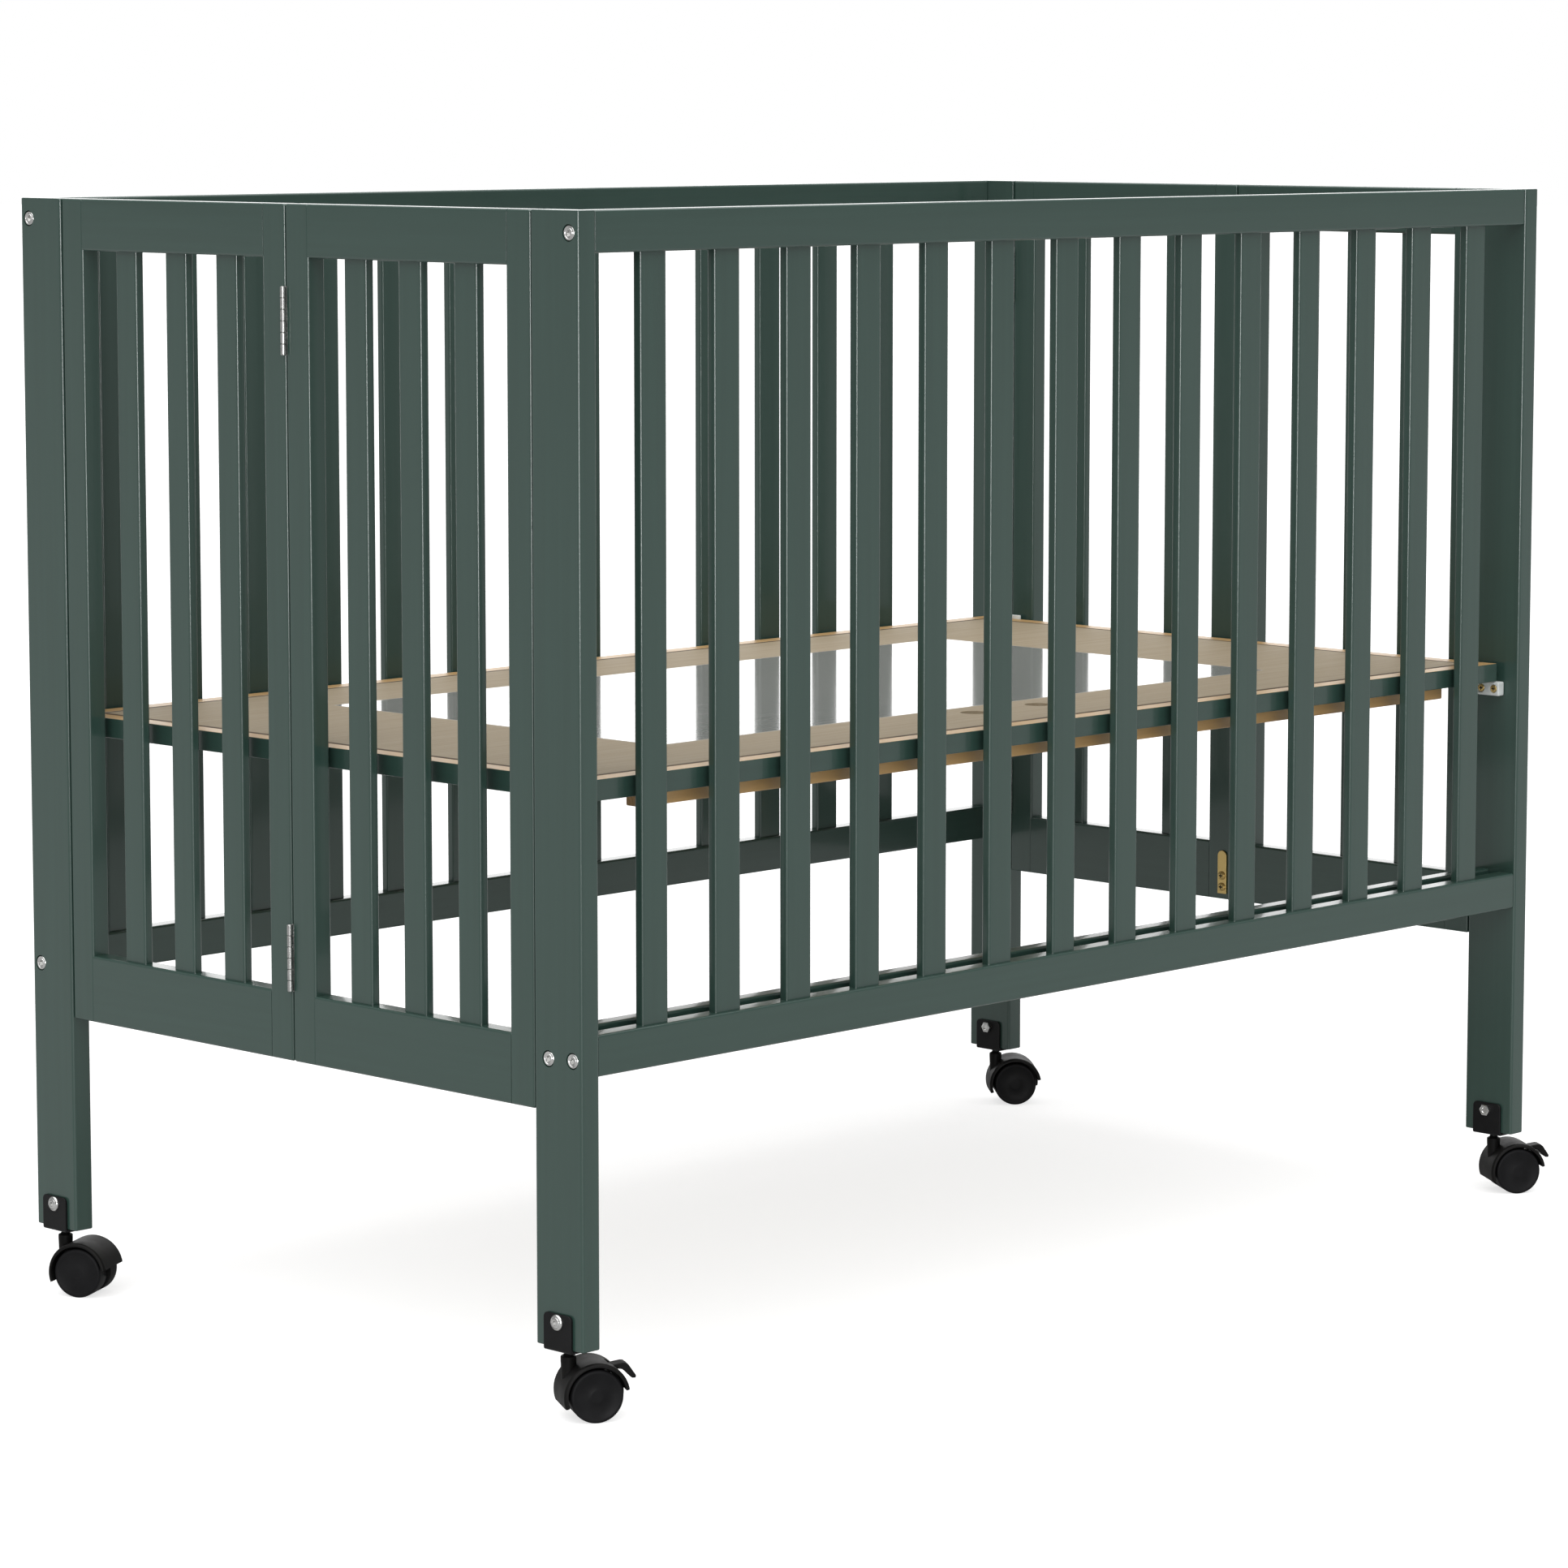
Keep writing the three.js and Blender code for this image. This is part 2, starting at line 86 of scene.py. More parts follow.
class PlatformSettings(bpy.types.PropertyGroup):
    pine: bpy.props.FloatVectorProperty(
        name="Pine", description="Colour of the bare pine edging",
        subtype="COLOR", size=3, min=0, max=1, default=(0.50, 0.31, 0.125))
    board: bpy.props.FloatVectorProperty(
        name="Board", description="Colour of the deck board",
        subtype="COLOR", size=3, min=0, max=1, default=(0.40, 0.35, 0.29))
    margin_ends: bpy.props.FloatProperty(
        name="Matt ends", description="Width of the matt band at each end of the polished middle",
        unit="LENGTH", default=0.2, min=0.02, max=0.4)
    margin_sides: bpy.props.FloatProperty(
        name="Matt sides", description="Width of the matt band along each side of the polished middle",
        unit="LENGTH", default=0.115, min=0.02, max=0.3)
    strip: bpy.props.FloatProperty(
        name="Edging", description="Width of the edging strips, in millimetres", default=20, min=8, max=40)


class CasterSettings(bpy.types.PropertyGroup):
    trail: bpy.props.FloatProperty(
        name="Trail", description="Stem to axle, in millimetres", default=21, min=5, max=40)
    tread: bpy.props.FloatProperty(
        name="Wheel radius", description="Radius of a wheel, in millimetres", default=24, min=10, max=40)
    hood: bpy.props.FloatProperty(
        name="Hood radius", description="Outer radius of the hood, in millimetres", default=30, min=12, max=50)
    hood_wall: bpy.props.FloatProperty(
        name="Hood wall", description="Thickness of the hood, in millimetres", default=3.5, min=1, max=6)


class StageSettings(bpy.types.PropertyGroup):
    floor: bpy.props.FloatVectorProperty(
        name="Floor", description="Colour of the floor",
        subtype="COLOR", size=3, min=0, max=1, default=(0.62, 0.62, 0.62))
    glow: bpy.props.FloatProperty(
        name="Floor glow", description="How far the floor is lit from below, which thins the shadow", default=0.7)
    key: bpy.props.FloatProperty(
        name="Key light", description="Strength of the broad overhead light", default=2.4)
    front: bpy.props.FloatProperty(
        name="Front light", description="Strength of the light from the front, in watts", default=220)
    backdrop: bpy.props.FloatProperty(
        name="Screens", description="Strength of the bright screens behind and overhead, in watts", default=260)
    room: bpy.props.FloatProperty(
        name="Room light", description="Strength of the even light all round", default=0.42)


# ------------------------------------------------------------------ surfaces
# A part is a pair: points in millimetres as an array of rows, and faces as a list of index arrays, one
# array for each number of corners.
def weave(rings, wrap_rings=False, caps=True):
    """Skins a stack of closed rings: each face joins point j and j+1 of ring i to those of ring i+1, and
    the first and last ring are closed with one flat face each, or joined to each other."""
    rings = np.asarray(rings, float)
    count, around = rings.shape[:2]
    i = np.arange(count if wrap_rings else count - 1)[:, None]
    j = np.arange(around)[None, :]
    after, beside = (i + 1) % count, (j + 1) % around
    quads = np.stack([i * around + j, i * around + beside, after * around + beside, after * around + j], -1)
    faces = [quads.reshape(-1, 4)]
    if caps and not wrap_rings:
        ends = np.arange(around)
        faces.append(np.stack([ends[::-1], ends + (count - 1) * around]))
    return outward(rings.reshape(-1, 3), faces)


def outward(points, faces):
    """Turns the faces round if the enclosed volume, the sum of the triangles' triple products, is negative."""
    total = 0.0
    for group in faces:
        a = points[group[:, 0]]
        for k in range(1, group.shape[1] - 1):
            total += np.einsum("ij,ij->i", a, np.cross(points[group[:, k]], points[group[:, k + 1]])).sum()
    return points, ([group[:, ::-1] for group in faces] if total < 0 else faces)


def gather(*parts):
    """One part from several, with each one's face numbers moved past the points before it."""
    points, faces, base = [], [], 0
    for rows, groups in parts:
        points.append(rows)
        faces += [group + base for group in groups]
        base += len(rows)
    return np.concatenate(points), faces


def moved(part, shift=(0, 0, 0), turn=0.0, tilt=None):
    """The part turned by `turn` degrees about Z after an optional tilt matrix, then shifted."""
    points, faces = part
    if tilt is not None:
        points = points @ np.array(tilt, float).T
    c, s = cos(radians(turn)), sin(radians(turn))
    points = points @ np.array([[c, s, 0], [-s, c, 0], [0, 0, 1.0]])
    return points + np.array(shift, float), faces


UP_TO_X = [[0, 0, 1], [0, 1, 0], [-1, 0, 0]]     # the local +Z of a turned piece laid along +X
UP_TO_MINUS_X = [[0, 0, -1], [0, 1, 0], [1, 0, 0]]
UP_TO_Y = [[1, 0, 0], [0, 0, 1], [0, -1, 0]]


def bar(low, high, edge, end=None, along=None, steps=4):
    """A stick with eased edges. A rounded rectangle, four quarter circles of radius `edge` joined by
    straight sides, is carried along the longest side; near each end it draws in by end*(1 - sin t) while
    it moves end*(1 - cos t) along, which rounds the end."""
    low, high = np.minimum(low, high).astype(float), np.maximum(low, high).astype(float)
    size = high - low
    along = int(np.argmax(size)) if along is None else along
    across = [axis for axis in (0, 1, 2) if axis != along]
    half = size[across] / 2
    edge = min(edge, half.min() * 0.98)
    end = min(edge if end is None else end, edge, size[along] * 0.49)
    t = np.linspace(0, pi / 2, steps + 1)
    draw = np.concatenate([end * (1 - np.sin(t)), (end * (1 - np.sin(t)))[::-1]])
    place = np.concatenate([end * (1 - np.cos(t)), size[along] - (end * (1 - np.cos(t)))[::-1]])
    angle = (np.arange(4)[:, None] * pi / 2 + t[None, :]).ravel()
    corner = np.repeat(np.array([[1, 1], [-1, 1], [-1, -1], [1, -1]], float), steps + 1, axis=0)
    radius = (edge - draw)[:, None]
    u = corner[:, 0] * (half[0] - edge) + radius * np.cos(angle)
    v = corner[:, 1] * (half[1] - edge) + radius * np.sin(angle)
    rings = np.empty((len(place), len(angle), 3))
    middle = (low + high) / 2
    rings[..., across[0]] = middle[across[0]] + u
    rings[..., across[1]] = middle[across[1]] + v
    rings[..., along] = low[along] + place[:, None]
    return weave(rings)


def turned(rings, segments=32, wrap=False):
    """A turned piece about +Z: ring i stands at height h_i with radius r_i, and r_i may be a function of
    the angle, which gives sockets and star recesses."""
    angle = np.arange(segments) / segments * 2 * pi
    radius = np.stack([r(angle) if callable(r) else np.full(segments, float(r)) for r, _ in rings])
    height = np.array([h for _, h in rings], float)[:, None] + np.zeros(segments)
    return weave(np.stack([radius * np.cos(angle), radius * np.sin(angle), height], -1), wrap_rings=wrap)


def arc(radius, centre_r, centre_h, start, stop, steps=5):
    """Profile points on a circle of that radius about (centre_r, centre_h), from start to stop degrees."""
    t = np.radians(np.linspace(start, stop, steps + 1))
    return list(zip(centre_r + radius * np.cos(t), centre_h + radius * np.sin(t)))


def hexagon(flat):
    """Radius of a hexagon against the angle: half the width across flats over the cosine of the angle to
    the nearest flat's middle."""
    return lambda a: flat / np.cos((a + pi / 6) % (pi / 3) - pi / 6)


def cross(reach, arm):
    """Radius of a four-armed recess against the angle: the arm's half width over the sine of the angle
    to the nearest arm, and no more than its reach."""
    def radius(a):
        nearest = np.abs((a + pi / 4) % (pi / 2) - pi / 4)
        return np.minimum(reach, arm / np.maximum(np.sin(nearest), 1e-3))
    return radius


def slab(outline, low, high, normal=1):
    """A flat outline carried straight from low to high along one axis, closed at both ends."""
    outline = np.asarray(outline, float)
    rings = np.empty((2, len(outline), 3))
    flat = [axis for axis in (0, 1, 2) if axis != normal]
    rings[:, :, flat[0]] = outline[:, 0]
    rings[:, :, flat[1]] = outline[:, 1]
    rings[:, :, normal] = np.array([low, high], float)[:, None]
    return weave(rings)


# ------------------------------------------------------------------ objects
def settings(which):
    return getattr(bpy.context.scene, "playpen_" + which)


def build(name, part, material, body=None, nodes=(), bevel=0.0, keep_flat=True):
    """Puts a part into a mesh object at the origin, with its place in its points, in metres."""
    points, groups = part
    mesh = bpy.data.meshes.new(name)
    mesh.from_pydata((points * 0.001 + CENTRE).tolist(), [], [f for g in groups for f in g.tolist()])
    mesh.update()
    materials = material if isinstance(material, (list, tuple)) else [material]
    for entry in materials:
        mesh.materials.append(entry)
    piece = bpy.data.objects.new(name, mesh)
    bpy.context.scene.collection.objects.link(piece)
    mesh.shade_smooth()
    mesh.set_sharp_from_angle(angle=radians(40))
    if bevel:
        soften = piece.modifiers.new("Eased edges", "BEVEL")
        soften.width, soften.segments, soften.angle_limit = bevel * 0.001, 2, radians(40)
    if keep_flat:
        steady = piece.modifiers.new("Flat faces stay flat", "WEIGHTED_NORMAL")
        steady.keep_sharp = True
    if body:
        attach(piece, body)
        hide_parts(*([nodes] if isinstance(nodes, str) else nodes))
    return piece


def carved(part, *cutters):
    """The part with each cutter taken out of it by an exact cut, read back as a part."""
    blank = bpy.data.materials.get("blank") or bpy.data.materials.new("blank")
    body = build("carving", part, blank, keep_flat=False)
    tools = [build("cutter", cutter, blank, keep_flat=False) for cutter in cutters]
    for tool in tools:
        cut = body.modifiers.new("Cut", "BOOLEAN")
        cut.operation, cut.solver, cut.object = "DIFFERENCE", "EXACT", tool
    result = bpy.data.meshes.new_from_object(body.evaluated_get(bpy.context.evaluated_depsgraph_get()))
    points = np.empty(len(result.vertices) * 3)
    result.vertices.foreach_get("co", points)
    corners = np.empty(len(result.loops), int)
    result.loops.foreach_get("vertex_index", corners)
    start, count = np.empty(len(result.polygons), int), np.empty(len(result.polygons), int)
    result.polygons.foreach_get("loop_start", start)
    result.polygons.foreach_get("loop_total", count)
    groups = [corners[start[count == n][:, None] + np.arange(n)] for n in np.unique(count)]
    for item in [body, *tools]:
        bpy.data.objects.remove(item)
    return (points.reshape(-1, 3) - CENTRE) * 1000, groups


# ------------------------------------------------------------------ materials
class Finish:
    """A material under construction, with short ways to add and join its nodes."""

    def __init__(self, name, **surface):
        self.material = bpy.data.materials.new(name)
        self.material.use_nodes = True
        self.tree = self.material.node_tree
        self.surface = self.tree.nodes["Principled BSDF"]
        for socket, value in surface.items():
            self.surface.inputs[socket.replace("_", " ").title().replace("Ior", "IOR")].default_value = value

    def add(self, kind, inputs=None, **options):
        node = self.tree.nodes.new("ShaderNode" + kind)
        for key, value in options.items():
            setattr(node, key, value)
        for key, value in (inputs or {}).items():
            if isinstance(value, bpy.types.NodeSocket):
                self.tree.links.new(value, node.inputs[key])
            else:
                node.inputs[key].default_value = value
        return node

    def place(self, scale=(1, 1, 1), shift=(0, 0, 0), turn=(0, 0, 0)):
        """Object coordinates, scaled and turned for a pattern."""
        read = self.add("TexCoord").outputs["Object"]
        return self.add("Mapping", {"Vector": read, "Scale": scale, "Location": shift,
                                    "Rotation": turn}).outputs["Vector"]

    def noise(self, where, scale, detail=3.0, rough=0.55, distort=0.0):
        return self.add("TexNoise", {"Vector": where, "Scale": scale, "Detail": detail,
                                     "Roughness": rough, "Distortion": distort}).outputs["Fac"]

    def span(self, value, low, high, out_low, out_high):
        """The value's stretch from low to high carried on to out_low to out_high, and held there."""
        return self.add("MapRange", {"Value": value, "From Min": low, "From Max": high,
                                     "To Min": out_low, "To Max": out_high}).outputs["Result"]

    def blend(self, amount, first, second):
        node = self.add("Mix", data_type="RGBA")
        for key, value in (("Factor", amount), ("A", first), ("B", second)):
            socket = next(s for s in node.inputs if s.name == key and s.enabled
                          and s.type == ("VALUE" if key == "Factor" else "RGBA"))
            if isinstance(value, bpy.types.NodeSocket):
                self.tree.links.new(value, socket)
            else:
                socket.default_value = (*value, 1) if hasattr(value, "__len__") and len(value) == 3 else value
        return next(s for s in node.outputs if s.type == "RGBA")

    def bump(self, height, distance, strength=1.0, under=None):
        inputs = {"Height": height, "Distance": distance, "Strength": strength}
        if under is not None:
            inputs["Normal"] = under
        return self.add("Bump", inputs).outputs["Normal"]

    def wire(self, **sockets):
        for socket, value in sockets.items():
            self.tree.links.new(value, self.surface.inputs[socket.replace("_", " ").title()])
        return self.material


def grained(along, coarse, fine):
    """Pattern scales that stretch the pattern along one axis of the timber."""
    return tuple(coarse if axis == along else fine for axis in range(3))


def painted_timber(name, along):
    """Satin lacquer over timber: an even sheen, with a colour that drifts a little along the grain."""
    paint = tuple(settings("timber").paint)
    f = Finish(name, roughness=0.3, coat_weight=0.4, coat_roughness=0.1, specular_ior_level=0.35)
    long_grain = f.noise(f.place(grained(along, 0.8, 30)), 5.0, 2.0, 0.5)
    drift = f.noise(f.place(), 3.1, 2.0)
    lighter = tuple(c * 1.05 for c in paint)
    darker = tuple(c * 0.95 for c in paint)
    streak = f.blend(f.span(long_grain, 0.32, 0.68, 0.0, 1.0), darker, lighter)
    colour = f.blend(f.span(drift, 0.3, 0.7, 0.0, 0.35), streak, paint)
    return f.wire(base_color=colour)


def bare_pine(name, along):
    """Pale pine with darker growth lines and soft figure along the stick."""
    pine = tuple(settings("platform").pine)
    f = Finish(name, roughness=0.42, coat_weight=0.1, coat_roughness=0.3)
    where = f.place(grained(along, 1.1, 26))
    figure = f.noise(where, 3.2, 4.0, 0.6, 0.8)
    lines = f.add("TexWave", {"Vector": f.place(grained(along, 0.35, 30), turn=(0.2, 0.1, 0.05)), "Scale": 2.6,
                              "Distortion": 5.0, "Detail": 3.0, "Detail Scale": 1.4},
                  wave_type="BANDS", bands_direction="Y" if along == 0 else "X").outputs["Fac"]
    dark = tuple(c * k for c, k in zip(pine, (0.72, 0.62, 0.5)))
    colour = f.blend(f.span(figure, 0.3, 0.7, 0, 1), pine, tuple(min(1, c * 1.18) for c in pine))
    colour = f.blend(f.span(lines, 0.55, 1.0, 0, 0.55), colour, dark)
    return f.wire(base_color=colour, normal=f.bump(figure, 0.0002, 0.3))


def deck_board(name):
    """Sealed board: fine specks and short streaks along its length, polished in a rectangle in the
    middle, whose pale grey colour is partly painted reflection of the bright backdrop. The polish is the
    product of two masks, one for the distance inside the rectangle's ends and one for its sides, and the
    last few millimetres before the board's edge are painted dark."""
    p = settings("platform")
    board = tuple(p.board)
    low, high = (np.array(c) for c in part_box("platform_deck"))
    f = Finish(name, coat_weight=0.6, coat_roughness=0.06, specular_ior_level=0.12)
    streaks = f.noise(f.place((1.4, 60, 60)), 5.0, 6.0, 0.65, 0.3)
    specks = f.noise(f.place((60, 190, 190)), 3.5, 3.0, 0.6)
    read = f.add("SeparateXYZ", {"Vector": f.place()})
    polish, rim = None, None
    for axis, (name_out, margin) in enumerate((("X", p.margin_ends), ("Y", p.margin_sides))):
        middle, reach = (low[axis] + high[axis]) / 2, (high[axis] - low[axis]) / 2 - margin
        away = f.add("Math", {0: read.outputs[name_out], 1: middle}, operation="SUBTRACT").outputs[0]
        away = f.add("Math", {0: away}, operation="ABSOLUTE").outputs[0]
        inside = f.span(away, reach - 0.002, reach + 0.002, 1.0, 0.0)
        polish = inside if polish is None else f.add(
            "Math", {0: polish, 1: inside}, operation="MULTIPLY").outputs[0]
        outer = f.span(away, reach + margin - 0.007, reach + margin - 0.004, 0.0, 1.0)
        rim = outer if rim is None else f.add("Math", {0: rim, 1: outer}, operation="MAXIMUM").outputs[0]
    # Pale grey of the polished middle: partly the board's own finish, partly painted reflection of the bright backdrop.
    sealed_grey_and_painted_reflection = (0.53, 0.52, 0.50)
    colour = f.blend(f.span(streaks, 0.36, 0.64, 0, 1), tuple(c * 0.86 for c in sealed_grey_and_painted_reflection), sealed_grey_and_painted_reflection)
    bare = f.blend(f.span(streaks, 0.36, 0.64, 0, 1), tuple(c * k for c, k in zip(board, (0.86, 0.78, 0.62))),
                   tuple(c * k for c, k in zip(board, (1.0, 0.93, 0.78))))
    colour = f.blend(polish, bare, colour)
    colour = f.blend(f.span(specks, 0.52, 0.75, 0, 0.3), colour, tuple(c * 0.7 for c in board))
    # Dark band in the last few millimetres before the board's edge, where it meets the edging.
    colour = f.blend(rim, colour, (0.085, 0.055, 0.03))
    rough = f.span(polish, 0.0, 1.0, 0.62, 0.12)
    fine = f.bump(specks, 0.00002, 0.3)
    return f.wire(base_color=colour, roughness=rough, coat_weight=f.span(polish, 0, 1, 0.0, 0.6),
                  normal=f.bump(streaks, 0.00004, 0.25, fine))


def board_back(name):
    """The underside and edges of the board: plain, with the same fine streaks along its length."""
    board = tuple(settings("platform").board)
    f = Finish(name, roughness=0.65, specular_ior_level=0.12)
    streaks = f.noise(f.place((1.4, 60, 60)), 5.0, 6.0, 0.65, 0.3)
    colour = f.blend(f.span(streaks, 0.36, 0.64, 0, 1), tuple(c * k for c, k in zip(board, (0.86, 0.78, 0.62))),
                     tuple(c * k for c, k in zip(board, (1.0, 0.93, 0.78))))
    return f.wire(base_color=colour, normal=f.bump(streaks, 0.00004, 0.25))


def plated(name, colour, rough, worn=0.7):
    """Plated metal with fine rubbing marks and a slightly darker film in patches."""
    f = Finish(name, metallic=1.0, roughness=rough)
    rubs = f.noise(f.place((240, 240, 1400)), 2.0, 3.0, 0.7)
    film = f.noise(f.place(), 130.0, 3.0)
    shade = f.blend(f.span(film, 0.35, 0.7, 0, 1), colour, tuple(c * worn for c in colour))
    return f.wire(base_color=shade, roughness=f.span(rubs, 0.3, 0.7, rough * 0.75, rough * 1.35),
                  normal=f.bump(rubs, 0.00002, 0.3))


def moulded(name, colour, rough, grain=0.00005, soft=0.0, shine=0.15):
    """Moulded plastic or powder coat: a fine even stipple and faint colour drift."""
    f = Finish(name, roughness=rough, subsurface_weight=soft, specular_ior_level=shine)
    f.surface.inputs["Subsurface Radius"].default_value = (0.004, 0.003, 0.003)
    stipple = f.noise(f.place(), 1100.0, 2.0, 0.6)
    drift = f.noise(f.place(), 45.0, 3.0)
    shade = f.blend(f.span(drift, 0.3, 0.7, 0, 1), colour, tuple(min(1, c * 1.3 + 0.002) for c in colour))
    return f.wire(base_color=shade, roughness=f.span(drift, 0.3, 0.7, rough * 0.85, rough * 1.15),
                  normal=f.bump(stipple, grain, 0.6))


FINISHES = {
    "upright green": lambda n: painted_timber(n, 2),
    "long green": lambda n: painted_timber(n, 0),
    "cross green": lambda n: painted_timber(n, 1),
    "long pine": lambda n: bare_pine(n, 0),
    "cross pine": lambda n: bare_pine(n, 1),
    "deck": deck_board,
    "deck back": board_back,
    "nickel": lambda n: plated(n, (0.42, 0.42, 0.41), 0.28),
    "bolt zinc": lambda n: plated(n, (0.58, 0.58, 0.57), 0.22),
    "brass": lambda n: plated(n, (0.46, 0.37, 0.16), 0.3),
    "black coat": lambda n: moulded(n, (0.0065, 0.0065, 0.007), 0.4, 0.00004, 0.0, 0.12),
    "white nylon": lambda n: moulded(n, (0.62, 0.65, 0.64), 0.38, 0.00002, 0.08, 0.4),
    "black nylon": lambda n: moulded(n, (0.006, 0.0058, 0.0056), 0.5, 0.00004, 0.0, 0.08),
    "wheel nylon": lambda n: moulded(n, (0.0085, 0.0085, 0.0092), 0.5, 0.00003, 0.0, 0.07),
}


def finish(name):
    """The named finish, made the first time it is asked for."""
    return bpy.data.materials.get(name) or FINISHES[name](name)


# ------------------------------------------------------------------ small fittings
def screw(radius, rise, reach=0.62, arm=0.17, deep=1.7):
    """Pan-head screw, head up: a flat rim, a domed top and a four-armed recess."""
    dome = [(radius * cos(t), rise * (0.35 + 0.65 * sin(t))) for t in np.linspace(0, 1.0, 5)]
    star = cross(radius * reach, radius * arm)
    rim = dome[-1][1]
    return turned([(radius * 0.8, -0.4), (radius, 0), *dome, (star, rim + 0.02), (star, rim - deep * 0.5),
                   (cross(radius * reach * 0.6, radius * arm * 0.8), rim - deep)], 48)


def recess(radius, rise, reach=0.62, arm=0.17):
    """Black insert in the bottom of a screw's recess: painted shade standing for the shadow that falls in the recess.
    """
    star, rim = cross(radius * reach * 0.98, radius * arm * 0.98), rise * (0.35 + 0.65 * sin(1.0))
    return turned([(star, rim - 1.2), (star, rim - 0.3)], 48)


def socket_bolt(radius=6.8, across=2.7, deep=1.9):
    """Cylinder-head bolt with a hexagon socket, its face at height 0 with a shallow ring turned in it."""
    return turned([(radius, -5), (radius, -0.7), (radius - 0.6, 0), (5.1, 0), (4.8, -0.3), (4.2, -0.3), (3.9, 0),
                   (across + 0.5, 0), (hexagon(across), -0.25), (hexagon(across), -deep)], 48)


# ------------------------------------------------------------------ operators
class PLAYPEN_OT_posts(bpy.types.Operator):
    """Four corner posts with rounded edges, and the bolts sunk in their outer faces"""
    bl_idname = "playpen.posts"
    bl_label = "Posts and rail bolts"

    def execute(self, context):
        edge = context.scene.playpen_timber.post_edge
        for side, s in SIDES.items():
            for end, e in ENDS.items():
                node = f"{side}_{end}_post"
                low, high = box_mm(node)
                spots = [(s * (HALF_Y - 12), TOP - 19.5), (s * (HALF_Y - 12), 323.5)]
                if s < 0:
                    spots.append((-(HALF_Y - 42.5), 322.0))
                face = e * HALF_X
                tilt = UP_TO_X if e > 0 else UP_TO_MINUS_X
                pits = [moved(turned([(7.5, -2.6), (7.5, 2)], 40), (face, y, z), tilt=tilt) for y, z in spots]
                build(f"{node}_timber", carved(bar(low, high, edge, 1.2, steps=5), *pits), finish("upright green"),
                      f"{side}_side", node)
                bolts = [moved(socket_bolt(), (face - e * 0.45, y, z), tilt=tilt) for y, z in spots]
                build(f"{side}_{end}_rail_bolts", gather(*bolts), finish("bolt zinc"),
                      f"{side}_side", node)
        return {"FINISHED"}


class PLAYPEN_OT_sides(bpy.types.Operator):
    """Front and back sides: a top and bottom rail and a row of slats let into them, and the second bar
    inside the front bottom rail"""
    bl_idname = "playpen.sides"
    bl_label = "Slatted sides"

    def execute(self, context):
        t = context.scene.playpen_timber
        for side, s in SIDES.items():
            node = f"{side}_side_panel"
            low, high = box_mm(node)
            rails = {"top": (high[2] - 37, high[2]), "bottom": (low[2], low[2] + 37)}
            for which, (z0, z1) in rails.items():
                build(f"{side}_{which}_rail", bar((low[0], low[1], z0), (high[0], high[1], z1), t.rail_edge, 0.5),
                      finish("long green"), f"{side}_side", node)
            middle = (low[1] + high[1]) / 2
            inner = (high[0] - low[0]) + 0.6
            gap = (inner - t.slats * 32) / (t.slats + 1)
            for i in range(t.slats):
                x = low[0] - 0.3 + gap + i * (32 + gap)
                build(f"{side}_slat_{i + 1:02d}",
                      bar((x, middle - 5, rails["bottom"][1] - 6), (x + 32, middle + 5, rails["top"][0] + 6),
                          t.slat_edge),
                      finish("upright green"), f"{side}_side", node)
        low, high = box_mm("front_inner_rail")
        build("front_second_bar", bar(low, high, t.rail_edge, 0.5), finish("long green"),
              "front_side", "front_inner_rail")
        return {"FINISHED"}


class PLAYPEN_OT_ends(bpy.types.Operator):
    """The four half panels of the folding ends: stiles, rails and slats"""
    bl_idname = "playpen.ends"
    bl_label = "Folding ends"

    def execute(self, context):
        t = context.scene.playpen_timber
        for end in ENDS:
            for side in SIDES:
                node = f"{end}_{side}_end_panel"
                body = f"{end}_{side}_leaf"
                low, high = box_mm(node)
                stile, lap = 31, t.rail_edge - 1.5
                for which, y0 in (("near", low[1]), ("far", high[1] - stile)):
                    build(f"{end}_{side}_{which}_stile",
                          bar((low[0], y0, low[2]), (high[0], y0 + stile, high[2]), t.rail_edge),
                          finish("upright green"), body, node)
                inside = (low[1] + stile, high[1] - stile)
                rails = {"top": (high[2] - 48.5, high[2]), "bottom": (low[2], low[2] + 64)}
                for which, (z0, z1) in rails.items():
                    build(f"{end}_{side}_{which}_rail",
                          bar((low[0], inside[0] - lap, z0), (high[0], inside[1] + lap, z1), t.rail_edge, 0.3,
                              along=1),
                          finish("cross green"), body, node)
                middle = (low[0] + high[0]) / 2
                gap = (inside[1] - inside[0] - t.end_slats * 30) / (t.end_slats + 1)
                for i in range(t.end_slats):
                    y = inside[0] + gap + i * (30 + gap)
                    build(f"{end}_{side}_slat_{i + 1}",
                          bar((middle - 5, y, rails["bottom"][1] - 6), (middle + 5, y + 30, rails["top"][0] + 6),
                              t.slat_edge),
                          finish("upright green"), body, node)
        return {"FINISHED"}


